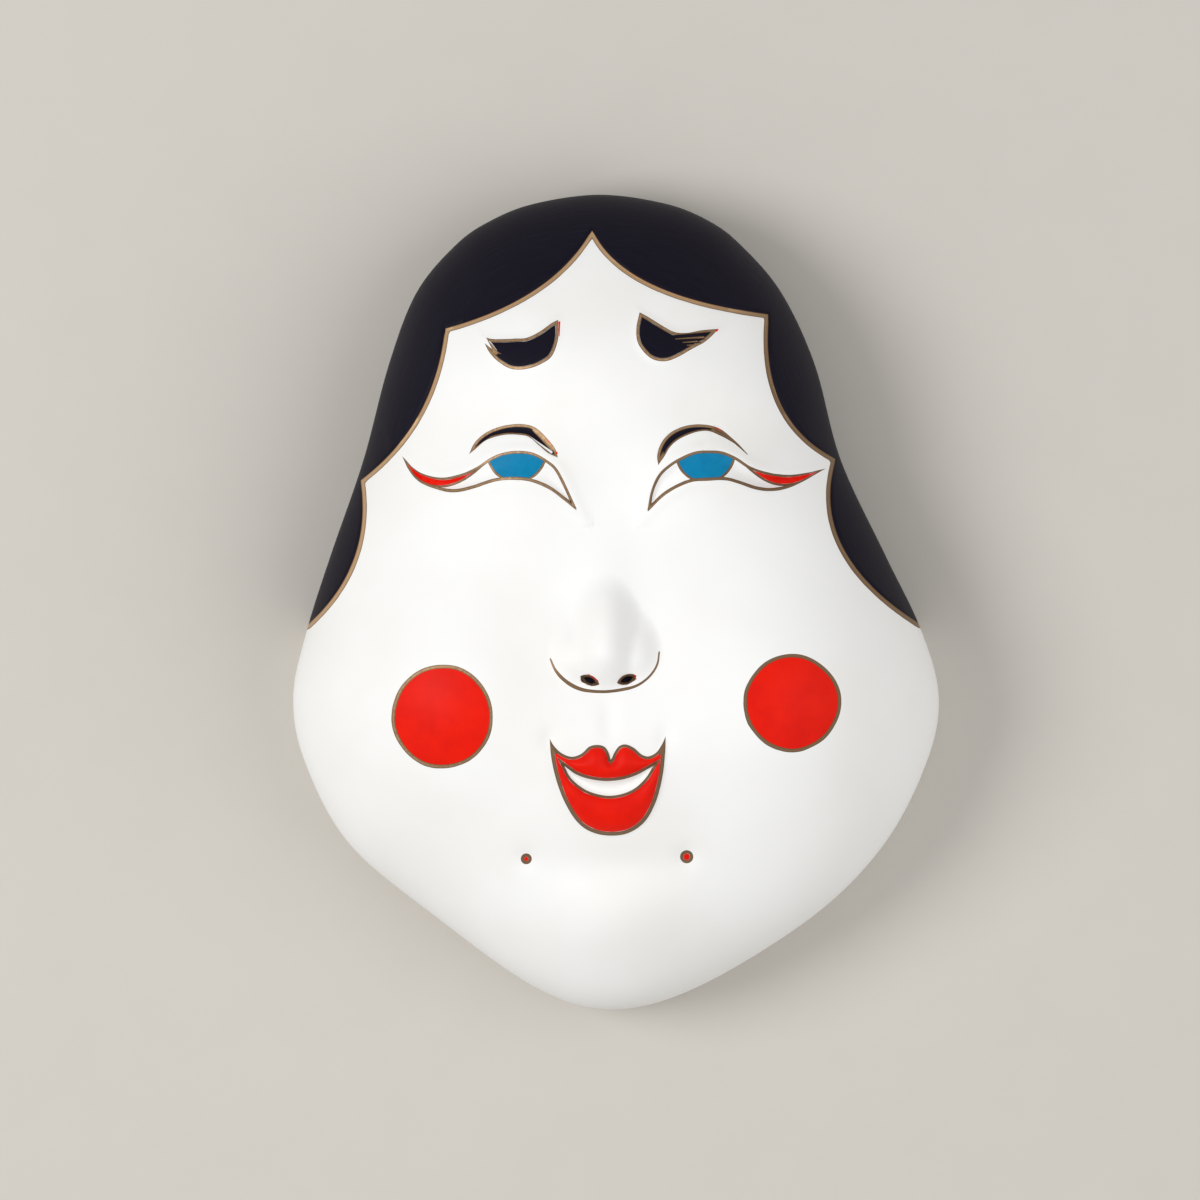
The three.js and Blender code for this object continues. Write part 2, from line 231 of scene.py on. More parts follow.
shell = {
    "depth": 73.9,              # rises below are shares of this
    "wall": 7.0,
    "sideHeight": 20.0,         # the upright side, from the rim to the outline
    "sideDraft": 2.5,           # how far the side draws in at the rim
    "rimBevel": 0.9,
    "hairStep": 1.4,
    "hairStepWidth": 1.0,
    "noseTip": (-0.035, -0.12),
    "domeShare": 0.83,          # share of the depth that the plain dome reaches
    "domeFlatness": 2.6,        # power of the dome's curve; 2 is an ellipse
    "swellingFade": 6,          # power of the share of the reach by which the swellings fade at the outline
    "outline": [                # from crown to chin: height, left edge, right edge
        (1, -0.05, -0.05), (0.978, -0.253, 0.153), (0.936, -0.389, 0.287), (0.877, -0.496, 0.386),
        (0.76, -0.618, 0.512), (0.583, -0.704, 0.616), (0.348, -0.783, 0.697), (0.113, -0.885, 0.836),
        (-0.064, -0.956, 0.943), (-0.23, -1, 1), (-0.39, -0.965, 0.964), (-0.593, -0.827, 0.832),
        (-0.772, -0.559, 0.609), (-0.946, -0.249, 0.25), (-1, -0.015, -0.015),
    ],
    "parting": (-0.074, 0.907),
    "hairlineLeft": [           # bows from the parting to the tip of the lock: pull, end
        ((-0.192, 0.738), (-0.525, 0.667)), ((-0.557, 0.432), (-0.787, 0.297)),
        ((-0.746, 0.083), (-0.958, -0.062)),
    ],
    "hairlineRight": [
        ((0.02, 0.745), (0.469, 0.702)), ((0.436, 0.445), (0.676, 0.349)),
        ((0.588, 0.115), (0.942, -0.058)),
    ],
    "jawBand": (0.14, 0.45),    # share of the reach, and the turn over which it comes in below the locks
    "swellings": {              # centre, reach, rise
        "forehead": ((-0.05, 0.55), (0.52, 0.27), 0.115),
        "left socket": ((-0.33, 0.43), (0.26, 0.1), -0.035),
        "right socket": ((0.29, 0.43), (0.26, 0.1), -0.035),
        "left eyeball": ((-0.31, 0.33), (0.2, 0.09), 0.045),
        "right eyeball": ((0.28, 0.33), (0.2, 0.09), 0.045),
        "left cheek": ((-0.54, -0.25), (0.36, 0.29), 0.13),
        "right cheek": ((0.54, -0.24), (0.36, 0.29), 0.13),
        "root of the nose": ((-0.03, 0.26), (0.17, 0.14), -0.035),
        "muzzle": ((-0.02, -0.42), (0.27, 0.2), 0.07),
        "under the lip": ((-0.01, -0.65), (0.24, 0.06), -0.03),
        "chin": ((0, -0.79), (0.24, 0.13), 0.065),
    },
    "noseBalls": [              # centre, reach across, reach up, reach down, rise
        ((-0.035, -0.11), 0.115, 0.16, 0.105, 0.095),
        ((-0.125, -0.13), 0.07, 0.085, 0.062, 0.05),
        ((0.057, -0.127), 0.07, 0.085, 0.062, 0.05),
    ],
    "noseBridge": (0.085, 0.32, 0.04),   # half width, top, rise
    "noseBlend": (0.02, 0.03),           # of the balls, and into the face
    "cordTurns": (-1.04, 1.04),          # direction of each cord hole from the nose tip
    "cordHole": 4.0,
    "cordSeat": 10.0,
    "cordSeatDepth": 0.8,
    "cordHeight": 10.0,
}

fineness = {
    "sectors": {"jaw": 92, "sideburn": 38, "temple": 38, "crown": 56},
    "faceRings": 150,
    "bandSteps": [0.02, 0.045, 0.075, 0.11, 0.16, 0.23, 0.32, 0.42, 0.52, 0.62, 0.71, 0.79, 0.86, 0.92,
                  0.97, 1],
    "sideRings": 6,
    "innerSideSteps": [0.12, 0.4, 0.7],
    "hollowRings": 38,
    "sharpAngle": 58,           # degrees between two faces past which their edge stays sharp
}

tipU, tipV = shell["noseTip"]


# Direction from the nose tip: 0 to the crown, positive to the right
def directionOf(points):
    u, v = np.asarray(points, float).T
    return np.arctan2(u - tipU, v - tipV)


# How far a line lies from the nose tip, looked up by direction
def reachTable(points):
    turns = directionOf(points)
    reaches = np.hypot(points[:, 0] - tipU, points[:, 1] - tipV)
    order = np.argsort(turns)
    return lambda angle: np.interp(angle, turns[order], reaches[order], period=2 * math.pi)


# Down the right edge and up the left one
def outlineCurve():
    rows = np.array(shell["outline"], float)
    right, left = rows[:, [2, 0]], rows[1:-1, [1, 0]]
    return smoothLine(np.vstack([right, left[::-1]]), closed=True, perSpan=28, power=0)


outline = outlineCurve()
hairlineLeft = bowedLine(shell["parting"], shell["hairlineLeft"])
hairlineRight = bowedLine(shell["parting"], shell["hairlineRight"])
hairline = np.vstack([hairlineLeft[::-1], hairlineRight])
outlineReach = reachTable(outline)
hairlineReach = reachTable(hairline)
tipLeft, tipRight = directionOf([hairlineLeft[-1], hairlineRight[-1]])
farCorners = [(1.4, 0), (1.4, 1.4), (-1.4, 1.4), (-1.4, 0)]
hairLoop = inMillimetres(np.vstack([hairline, farCorners]))


# Millimetres along one unit of reach in a direction
def unitLength(angle):
    return np.hypot(np.sin(angle) * halfWidth, np.cos(angle) * halfHeight)


# Where the face ends and the hair begins, or below the locks a band near the outline
def faceReach(angle):
    edge = outlineReach(angle)
    share, fade = shell["jawBand"]
    past = np.maximum(angle - tipRight, tipLeft - angle)
    jaw = edge * (1 - share * smoothStep(0, fade, past))
    reach = np.where(past < 0, hairlineReach(angle), jaw)
    leastBand = 1.4
    return np.minimum(reach, edge - leastBand / unitLength(angle))


# Plain dome: from the side's height up as the square root of 1 - share ** flatness, and every swelling
# added on it, faded out at the outline
def broadHeight(u, v, share):
    side, depth = shell["sideHeight"], shell["depth"]
    climb = shell["domeShare"] * depth - side
    dome = side + climb * np.sqrt(np.maximum(0, 1 - share ** shell["domeFlatness"]))
    rises = sum(rise * swell(u, v, centre, reach) for centre, reach, rise in shell["swellings"].values())
    return dome + depth * rises * (1 - share ** shell["swellingFade"])


# The greater of two rises, with the crease between them rounded over a blend
def softerOf(a, b, blend):
    nearness = np.maximum(0, 1 - np.abs(a - b) / blend)
    return np.maximum(a, b) + nearness ** 2 * blend / 4


# Three paraboloid balls, run together, on a bridge that fades towards the eyes
def noseHeight(u, v):
    ballBlend, faceBlend = shell["noseBlend"]
    balls = []
    for centre, across, up, down, rise in shell["noseBalls"]:
        du = (u - centre[0]) / across
        dv = (v - centre[1]) / np.where(v > centre[1], up, down)
        balls.append(rise * (1 - du ** 2 - dv ** 2))
    nose = softerOf(softerOf(balls[0], balls[1], ballBlend), balls[2], ballBlend)
    width, top, rise = shell["noseBridge"]
    across = np.exp(-((u - tipU) / width) ** 2)
    down = shell["noseBalls"][0][3]
    bridge = rise * across * (1 - smoothStep(tipV, top, v)) * smoothStep(tipV - down, tipV, v)
    return shell["depth"] * (bridge + softerOf(nose, 0, faceBlend))


# Features of the face: lines read along each eye, brow and the mouth

eyes = {
    "left": {
        "lidTop": [(-0.652, 0.347), (-0.627, 0.326), (-0.595, 0.311), (-0.538, 0.301), (-0.477, 0.31),
                   (-0.428, 0.327), (-0.384, 0.35), (-0.346, 0.362), (-0.302, 0.366), (-0.259, 0.362),
                   (-0.221, 0.347), (-0.19, 0.328), (-0.168, 0.299), (-0.13, 0.234)],
        "lidBottom": [(-0.652, 0.347), (-0.64, 0.327), (-0.609, 0.298), (-0.556, 0.28), (-0.503, 0.272),
                      (-0.446, 0.28), (-0.375, 0.298), (-0.318, 0.302), (-0.265, 0.298), (-0.207, 0.28),
                      (-0.155, 0.25), (-0.13, 0.234)],
        "redEdge": [(-0.652, 0.347), (-0.626, 0.313), (-0.587, 0.29), (-0.538, 0.283), (-0.507, 0.287),
                    (-0.481, 0.295), (-0.451, 0.309), (-0.419, 0.33)],
        "creaseTop": [(-0.454, 0.361), (-0.437, 0.389), (-0.406, 0.412), (-0.357, 0.429), (-0.304, 0.435),
                      (-0.262, 0.431), (-0.238, 0.42), (-0.203, 0.391), (-0.185, 0.37), (-0.18, 0.353)],
        "creaseBottom": [(-0.454, 0.361), (-0.432, 0.375), (-0.402, 0.395), (-0.349, 0.408), (-0.309, 0.409),
                         (-0.271, 0.404), (-0.238, 0.383), (-0.21, 0.364), (-0.18, 0.353)],
        "browTop": [(-0.414, 0.652), (-0.39, 0.644), (-0.347, 0.643), (-0.312, 0.644), (-0.276, 0.646),
                    (-0.236, 0.661), (-0.199, 0.682), (-0.179, 0.69)],
        "browBottom": [(-0.414, 0.652), (-0.404, 0.63), (-0.39, 0.609), (-0.356, 0.583), (-0.319, 0.569),
                       (-0.273, 0.57), (-0.23, 0.582), (-0.199, 0.6), (-0.184, 0.626), (-0.177, 0.656),
                       (-0.179, 0.69)],
    },
    "right": {
        "lidTop": [(0.102, 0.229), (0.112, 0.271), (0.134, 0.309), (0.167, 0.334), (0.211, 0.354),
                   (0.247, 0.365), (0.286, 0.367), (0.324, 0.365), (0.366, 0.352), (0.414, 0.328),
                   (0.472, 0.313), (0.533, 0.308), (0.583, 0.313), (0.631, 0.322)],
        "lidBottom": [(0.102, 0.229), (0.145, 0.262), (0.19, 0.284), (0.233, 0.297), (0.286, 0.3),
                      (0.34, 0.301), (0.379, 0.293), (0.432, 0.279), (0.478, 0.275), (0.524, 0.281),
                      (0.577, 0.298), (0.631, 0.322)],
        "redEdge": [(0.397, 0.337), (0.419, 0.321), (0.463, 0.297), (0.507, 0.287), (0.555, 0.291),
                    (0.602, 0.308), (0.631, 0.322)],
        "creaseTop": [(0.13, 0.334), (0.127, 0.357), (0.137, 0.385), (0.163, 0.411), (0.211, 0.43),
                      (0.269, 0.434), (0.317, 0.425), (0.366, 0.395), (0.406, 0.362)],
        "creaseBottom": [(0.13, 0.334), (0.152, 0.36), (0.163, 0.375), (0.185, 0.393), (0.233, 0.412),
                         (0.282, 0.418), (0.326, 0.405), (0.375, 0.382), (0.406, 0.362)],
        "browTop": [(0.073, 0.708), (0.103, 0.695), (0.15, 0.672), (0.181, 0.66), (0.218, 0.658),
                    (0.267, 0.665), (0.315, 0.668)],
        "browBottom": [(0.073, 0.708), (0.063, 0.672), (0.066, 0.636), (0.085, 0.612), (0.111, 0.594),
                       (0.147, 0.588), (0.181, 0.595), (0.233, 0.618), (0.272, 0.635), (0.298, 0.653),
                       (0.315, 0.668)],
    },
}
irises = [(-0.307, 0.366), (0.275, 0.365)]
irisRadius = 7.6   # millimetres

mouth = {
    "mouthTop": [(-0.205, -0.333), (-0.192, -0.351), (-0.17, -0.368), (-0.136, -0.378), (-0.106, -0.37),
                 (-0.082, -0.353), (-0.059, -0.349), (-0.035, -0.354), (-0.022, -0.37), (-0.016, -0.386),
                 (-0.006, -0.368), (0.011, -0.351), (0.031, -0.348), (0.056, -0.357), (0.078, -0.372),
                 (0.099, -0.377), (0.123, -0.368), (0.142, -0.347), (0.153, -0.327)],
    "mouthBottom": [(-0.205, -0.333), (-0.201, -0.373), (-0.187, -0.427), (-0.159, -0.488), (-0.113, -0.543),
                    (-0.065, -0.565), (-0.012, -0.571), (0.04, -0.564), (0.088, -0.537), (0.12, -0.493),
                    (0.142, -0.431), (0.151, -0.368), (0.153, -0.327)],
    "teethTop": [(-0.159, -0.401), (-0.123, -0.421), (-0.077, -0.433), (-0.015, -0.437), (0.052, -0.426),
                 (0.114, -0.401)],
    "teethBottom": [(-0.159, -0.401), (-0.142, -0.427), (-0.102, -0.455), (-0.059, -0.469), (-0.01, -0.473),
                    (0.052, -0.458), (0.09, -0.431), (0.114, -0.401)],
}

noseLine = [(-0.203, -0.138), (-0.188, -0.165), (-0.159, -0.191), (-0.113, -0.212), (-0.048, -0.219),
            (0.011, -0.215), (0.067, -0.203), (0.106, -0.179), (0.127, -0.152), (0.133, -0.122)]
# Centre and turn, or centre and radii in millimetres
nostrils = [((-0.081, -0.191), -0.4), ((0.033, -0.189), 0.36)]
nostrilEnds = [((-0.0965, -0.188), 1.05), ((0.049, -0.185), 0.98)]   # the rounder outer ends
cheekDiscs = [((-0.537, -0.28), (12.7, 13.0)), ((0.543, -0.2465), (12.25, 12.2))]
dimples = [((-0.277, -0.628), 1.4, 0.55), ((0.218, -0.623), 1.7, 0.85)]   # ring and red core

carving = {   # millimetres: how far each form rises or is cut, and over what distance it rounds off
    "eyeCut": (-1.7, 0.9),
    "eyeball": ((0.13, 0.05), 0.035, 1.3),   # reach, how far below the iris's middle, rise
    "lidRidge": (0.5, 1.7, 0.9),             # rise, width, how far outside the line it runs
    "creaseCut": (-0.6, 0.5),
    "browRise": (0.7, 1.8),
    "lipRise": (2.9, 1.9),
    "teethCut": (-1.5, 0.7),
    "nostrilCut": (-2.6, 0.7),
    "dents": [                               # centre, reach, rise: under the nose, mouth corners, dimples
        ((-0.022, -0.29), (0.03, 0.05), -0.8),
        ((-0.205, -0.335), (0.03, 0.03), -0.9),
        ((0.153, -0.33), (0.03, 0.03), -0.9),
        ((-0.277, -0.628), (0.035, 0.028), -0.9),
        ((0.218, -0.623), (0.035, 0.028), -0.9),
    ],
    "unevenness": 0.09,                      # low waves left by the hand, their count and their lengths
    "waveCount": 9,
    "waveLengths": (14, 42),
    "edgeFade": 12,                          # power of the share of the reach by which all this fades
}

paint = {   # millimetres
    "hairline": (0.8, 0.35),        # how far the gold line runs over the face and over the hair
    "brow": 0.82,                   # widths of the gold lines that run inside or round a shape's edge
    "creaseTop": 0.78,
    "creaseBottom": 0.46,
    "mouthTop": 0.72,
    "mouthBottom": 1.0,
    "teethTop": 0.78,
    "teethBottom": 0.7,
    "lidTop": 0.36,                 # half widths of the lines drawn on an edge
    "lidBottom": 0.42,
    "redEdge": 0.31,
    "tailInset": 0.26,              # the red of the eyes' tails stays this far from the middle of its lines
    "tailThins": (43.0, 53.0),      # how far across the face the tails' lines grow thinner, and by what
    "tailThinning": 0.17,
    "iris": 0.3,
    "cheek": 0.47,
    "noseLine": [0.2, 0.42, 0.48, 0.41, 0.39, 0.39, 0.31, 0.27, 0.22],
    "lineEnd": 0.15,                # how far the lids' lines run on past their meeting
    "nostril": (2.7, 1.28),         # half length and half height
    "nostrilCore": (1.6, 0.72),
    "inkUnder": 0.25,               # the black reaches this near to a crease's edge, under the gold
    "inkOverlap": 0.1,              # and this far under the gold elsewhere
    # Straight strokes: start, end and the half width at each
    "wisps": [                      # gold hairs in the brows, and gold over the ends of the creases
        ((-0.391, 0.633), (-0.372, 0.61), 0.65, 0.65),
        ((-0.3735, 0.6115), (-0.3528, 0.6064), 0.45, 0.0),
        ((0.184, 0.643), (0.27, 0.6475), 0.14, 0.28),
        ((0.206, 0.6346), (0.25, 0.637), 0.13, 0.24),
        ((0.2198, 0.6277), (0.24, 0.6285), 0.14, 0.2),
        ((-0.253, 0.421), (-0.197, 0.376), 0.5, 0.72),
        ((0.132, 0.336), (0.1455, 0.367), 0.7, 0.1),
        ((0.142, 0.35), (0.215, 0.41), 0.8, 0.1),
        ((0.298, 0.42), (0.37, 0.39), 0.5, 0.35),
    ],
    "strands": [                    # black hairs between them, and the thin end of the left crease
        ((0.18, 0.6485), (0.291, 0.6595), 0.38, 0.08),
        ((0.2043, 0.6395), (0.272, 0.6435), 0.25, 0.08),
        ((0.2216, 0.6313), (0.2593, 0.635), 0.2, 0.06),
        ((-0.432, 0.3816), (-0.389, 0.407), 0.08, 0.3),
    ],
    "tails": [                      # gold past the tip of the right crease
        ((0.323, 0.4184), (0.362, 0.394), 0.34, 0.31),
        ((0.362, 0.394), (0.405, 0.3615), 0.31, 0.09),
    ],
    "lipFills": [                   # gold in the corners of the mouth and under the lip's notch
        ((-0.203, -0.336), (-0.189, -0.366), 0.15, 0.62),
        ((0.155, -0.327), (0.1375, -0.368), 0.15, 0.62),
        ((-0.014, -0.381), (-0.016, -0.398), 0.5, 0.05),
    ],
    "gaps": [                       # ground left bare in the left brow's outer end and the left crease
        ((-0.409, 0.6444), (-0.3833, 0.6189), 0.74, 0.03),
        ((-0.3904, 0.6377), (-0.3688, 0.6164), 0.1, 0.03),
        ((-0.261, 0.402), (-0.2, 0.366), 0.04, 0.34),
    ],
    "slips": [                      # red that slipped past the gold: brows, creases, nostrils
        ((-0.175, 0.684), (-0.1755, 0.65), 0.26, 0.12),
        ((0.3105, 0.664), (0.3145, 0.6665), 0.26, 0.18),
        ((-0.2136, 0.399), (-0.204, 0.387), 0.06, 0.1),
        ((-0.1832, 0.3655), (-0.1818, 0.363), 0.22, 0.18),
        ((0.3, 0.429), (0.323, 0.42), 0.05, 0.1),
        ((-0.0865, -0.176), (-0.056, -0.192), 0.08, 0.13),
        ((0.056, -0.178), (0.0615, -0.1885), 0.12, 0.13),
    ],
}


# Fields of all the lines, in millimetres. Those of the two sides of the face share a name.
def lineFields(x, y):
    fields = {"hair": areaField(hairLoop, x, y)}
    for name in eyes["left"]:
        below = name.endswith("Top")
        fields[name] = most(*(sideField(eye[name], below, np.vstack(list(eye.values())), x, y)
                              for eye in eyes.values()))
    for name, points in mouth.items():
        fields[name] = sideField(points, name.endswith("Top"), np.vstack(list(mouth.values())), x, y)
    fields["noseLine"] = sideField(noseLine, False, noseLine, x, y)
    fields["noseWidth"] = strokeWidth(noseLine, paint["noseLine"], x, y)
    return fields


# Shapes of the face, positive inside, from the lines' fields and the places on the face
def faceShapes(fields, x, y):
    shapes = {name: least(fields[name + "Top"], fields[name + "Bottom"])
              for name in ("lid", "crease", "brow", "mouth", "teeth")}
    shapes["iris"] = most(*(discField(centre, (irisRadius, irisRadius), x, y) for centre in irises))
    shapes["nostril"] = most(
        *(almondField(centre, *paint["nostril"], turn, x, y) for centre, turn in nostrils),
        *(discField(centre, (radius, radius), x, y) for centre, radius in nostrilEnds))
    return shapes


# Rounded step inside a field: rise * (1 - e to the minus distance over softness)
def roundedStep(field, rise, softness):
    return rise * (1 - np.exp(-np.maximum(field, 0) / softness))


# Low hand-made unevenness: a few long waves in seeded directions
def unevenness(x, y, amount, seed):
    random = np.random.default_rng(seed)
    waves = np.zeros_like(x)
    for _ in range(carving["waveCount"]):
        turn = random.uniform(0, math.pi)
        length = random.uniform(*carving["waveLengths"])
        shift = random.uniform(0, 2 * math.pi)
        waves += np.sin(2 * math.pi * (x * math.cos(turn) + y * math.sin(turn)) / length + shift)
    return amount * waves / math.sqrt(carving["waveCount"])


# The carved outside: the shell's broad form, the nose, and each feature's own step, ridge or pit
def outsideHeight(u, v, share, x, y, fields):
    shapes = faceShapes(fields, x, y)
    height = broadHeight(u, v, share) + noseHeight(u, v)
    height += roundedStep(shapes["lid"], *carving["eyeCut"])
    rise, width, away = carving["lidRidge"]
    height += rise * np.exp(-((shapes["lid"] + away) / width) ** 2)
    for centre in irises:
        reach, drop, rise = carving["eyeball"]
        ball = swell(u, v, (centre[0], centre[1] - drop), reach)
        height += rise * ball * smoothStep(0, carving["eyeCut"][1], shapes["lid"])
    height += roundedStep(shapes["crease"], *carving["creaseCut"])
    rise, width = carving["browRise"]
    height += rise * smoothStep(-width, width, shapes["brow"])
    height += roundedStep(least(shapes["mouth"], -shapes["teeth"]), *carving["lipRise"])
    height += roundedStep(shapes["teeth"], *carving["teethCut"])
    height += roundedStep(shapes["nostril"], *carving["nostrilCut"])
    for centre, reach, rise in carving["dents"]:
        height += rise * swell(u, v, centre, reach)
    edgeFade = 1 - share ** carving["edgeFade"]
    height += shell["hairStep"] * smoothStep(0, shell["hairStepWidth"], fields["hair"]) * edgeFade
    return height + unevenness(x, y, carving["unevenness"], seed=5) * edgeFade


# Shell mesh: one closed surface of rings round the nose tip

# Directions of the mesh's sectors, evenly spaced from each tip of the hairline to the next
def sectorAngles():
    corners = directionOf([end for pull, end in shell["hairlineLeft"]][::-1] + [shell["parting"]]
                          + [end for pull, end in shell["hairlineRight"]])
    chin = directionOf([(tipU + 1e-9, -1)])[0]
    stops = np.concatenate([[-chin], corners, [chin]])
    counts = [fineness["sectors"][name] for name in ("jaw", "sideburn", "temple", "crown")]
    spans = zip(stops, stops[1:], counts + counts[::-1])
    return np.concatenate([np.linspace(a, b, n, endpoint=False) for a, b, n in spans])


# Rings of the face evenly spaced, then band rings spaced so that the turned edge is evenly sampled
def outsideReaches(angles):
    face, edge = faceReach(angles), outlineReach(angles)
    inner = np.arange(1, fineness["faceRings"] + 1)[:, None] / fineness["faceRings"] * face
    flatness = shell["domeFlatness"]
    rise = np.sqrt(1 - (face / edge) ** flatness)
    left = rise * (1 - np.array(fineness["bandSteps"])[:, None])
    return np.vstack([inner, edge * (1 - left ** 2) ** (1 / flatness)])


gouges = {   # millimetres
    "depth": 0.55,
    "length": 11.0,
    "width": 4.2,
    "spacing": 7.5,          # across; the rows lie this times rowStretch apart
    "rowStretch": 1.3,
    "lift": 0.25,            # of the wood left between the cuts
    "scatter": 0.35,         # share of the spacing by which a cut strays
    "swing": 0.25,           # turn by which it strays
    "sizes": (0.8, 1.2),     # shares of the depth
    "edgeFade": 8,           # power of the share of the reach by which they fade at the side
}


# Gouge cuts of the hollow: each is a shallow bowl, longer than wide, that points to the middle; the deepest
# one at a point counts
def gougeMarks(x, y):
    cut = gouges
    random = np.random.default_rng(11)
    columns = np.arange(-halfWidth, halfWidth, cut["spacing"])
    rows = np.arange(-halfHeight, halfHeight, cut["spacing"] * cut["rowStretch"])
    centres = np.array([(cx, cy) for cy in rows for cx in columns], float)
    centres += random.uniform(-cut["scatter"], cut["scatter"], centres.shape) * cut["spacing"]
    turns = np.arctan2(centres[:, 1], centres[:, 0])
    turns += random.uniform(-cut["swing"], cut["swing"], len(centres))
    sizes = random.uniform(*cut["sizes"], len(centres))
    deepest = np.zeros_like(x)
    for (cx, cy), turn, size in zip(centres, turns, sizes):
        c, s = math.cos(turn), math.sin(turn)
        along, across = (x - cx) * c + (y - cy) * s, (y - cy) * c - (x - cx) * s
        bowl = cut["depth"] * size * (1 - (along / cut["length"]) ** 2 - (across / cut["width"]) ** 2)
        deepest = np.maximum(deepest, bowl)
    return deepest - cut["lift"]


# The place at a reach from the nose tip: reach times the direction's sine and cosine
def placesAt(angles, reach):
    return tipU + reach * np.sin(angles), tipV + reach * np.cos(angles)


# Quarter-round rings from one flat direction to the next: inset and height by sine and cosine
def bevelSteps(radius, count=3):
    turn = np.linspace(0, math.pi / 2, count + 1)
    return radius * (1 - np.cos(turn)), radius * (1 - np.sin(turn))


# Outside: the carved height over each ring. Side: drawn in by the square of the way down. Rim: a quarter
# round at each edge. Hollow: the broad form less the wall, on rings that close in by a sine.
def shellRings():
    angles = sectorAngles()
    edge, unit = outlineReach(angles), unitLength(angles)
    reach = outsideReaches(angles)
    u, v = placesAt(angles, reach)
    x, y = u * halfWidth, v * halfHeight
    fields = {name: field.reshape(x.shape) for name, field in lineFields(x.ravel(), y.ravel()).items()}
    share = np.minimum(1, reach / edge)
    z = outsideHeight(u, v, share, x, y, fields)

    draft, side, bevel, wall = (shell[name] for name in ("sideDraft", "sideHeight", "rimBevel", "wall"))
    down = np.linspace(0, 1 - bevel / side, fineness["sideRings"] + 1)[1:]
    bevelIn, bevelUp = bevelSteps(bevel)
    innerTop = side - wall
    innerAtRim = wall + draft * (1 - bevel / innerTop)
    climb = np.array(fineness["innerSideSteps"])
    insets = np.concatenate([draft * down ** 2, draft + bevelIn[1:], innerAtRim - bevelIn[:0:-1],
                             innerAtRim + (wall - innerAtRim) * climb])
    heights = np.concatenate([side * (1 - down), bevelUp[1:], bevelUp[:0:-1],
                              bevel + (innerTop - bevel) * climb])
    ub, vb = placesAt(angles, edge - insets[:, None] / unit)
    zb = np.repeat(heights[:, None], len(angles), 1)

    turn = np.linspace(math.pi / 2, 0, fineness["hollowRings"] + 1)[:-1]
    hollowShare = np.sin(turn)[:, None] * np.ones_like(angles)
    uh, vh = placesAt(angles, (edge - wall / unit) * hollowShare)
    zh = broadHeight(uh, vh, hollowShare) - wall
    zh += gougeMarks(uh * halfWidth, vh * halfHeight) * (1 - hollowShare ** gouges["edgeFade"])
    return angles, (u, v, z, fields, share), (ub, vb, zb), (uh, vh, zh)


# One value for each point: the tip's, the rings' and the hollow's middle
def setAttribute(mesh, name, rings, middle):
    values = np.concatenate([[rings[0, 0]], rings.ravel(), [middle]])
    mesh.attributes.new(name, "FLOAT", "POINT").data.foreach_set("value", values.astype(np.float32))


# Fields of the paint and the way of the hair, carried down the side from the outline
def addPaintAttributes(mesh):
    fields, share = outside[3:]
    sectors, insideCount = len(angles), inside[0].shape[0]
    for name, field in fields.items():
        side = np.broadcast_to(field[-1], below[0].shape)
        unpainted = np.full((insideCount, sectors), -fieldReach)
        setAttribute(mesh, name, np.vstack([field, side, unpainted]), -fieldReach)
    middle = np.zeros((insideCount, sectors))
    radius = (halfWidth + halfHeight) / 2
    down = shell["sideHeight"] - below[2]
    setAttribute(mesh, "strandAcross", np.vstack([share * radius, radius + down, middle]), 0)
    allRings = (len(share) + len(down) + insideCount, sectors)
    setAttribute(mesh, "strandAlong", np.broadcast_to(angles * radius, allRings), 0)


# The rings joined by four-cornered faces, and fans at the tip and in the middle of the hollow
def buildShellMesh():
    rings = [np.vstack(parts) for parts in zip(outside[:3], below, inside)]
    ringPoints = np.stack([rings[0] * halfWidth, rings[1] * halfHeight, rings[2]], -1).reshape(-1, 3)
    tip = (tipU * halfWidth, tipV * halfHeight)
    topPoint = (*tip, outside[2][0].mean())
    hollowPoint = (*tip, inside[2][-1].mean())
    points = np.vstack([topPoint, ringPoints, hollowPoint]) * millimetre

    count, sectors = rings[0].shape
    index = 1 + np.arange(count * sectors).reshape(count, sectors)
    following = np.roll(index, -1, 1)
    quads = np.stack([index[:-1], index[1:], following[1:], following[:-1]], -1).reshape(-1, 4)
    topFan = np.stack([np.zeros(sectors, int), index[0], following[0]], -1)
    hollowFan = np.stack([np.full(sectors, len(points) - 1), following[-1], index[-1]], -1)
    mesh = bpy.data.meshes.new("mask_shell")
    mesh.from_pydata(points.tolist(), [], quads.tolist() + topFan.tolist() + hollowFan.tolist())
    addPaintAttributes(mesh)

    paintedRings = len(outside[0]) + fineness["sideRings"]   # the paint stops at the rim's edge
    bare = np.repeat(np.arange(count - 1) >= paintedRings, sectors)
    bareFaces = np.concatenate([bare, np.zeros(sectors, bool), np.ones(sectors, bool)])
    mesh.polygons.foreach_set("material_index", bareFaces.astype(np.int32))
    mesh.polygons.foreach_set("use_smooth", np.ones(len(bareFaces), bool))
    mesh.update()
    mesh.validate()
    return mesh


# Materials

class Wire:   # a node's output; arithmetic on it adds Math nodes
    def __init__(self, graph, socket):
        self.graph = graph
        self.socket = socket

    def __add__(self, other):
        return self.graph.maths("ADD", self, other)

    def __sub__(self, other):
        return self.graph.maths("SUBTRACT", self, other)

    def __rsub__(self, other):
        return self.graph.maths("SUBTRACT", other, self)

    def __neg__(self):
        return self.graph.maths("MULTIPLY", self, -1.0)

    def __mul__(self, other):
        return self.graph.maths("MULTIPLY", self, other)

    def __truediv__(self, other):
        return self.graph.maths("DIVIDE", self, other)

    def __pow__(self, other):
        return self.graph.maths("POWER", self, other)

    __radd__ = __add__
    __rmul__ = __mul__


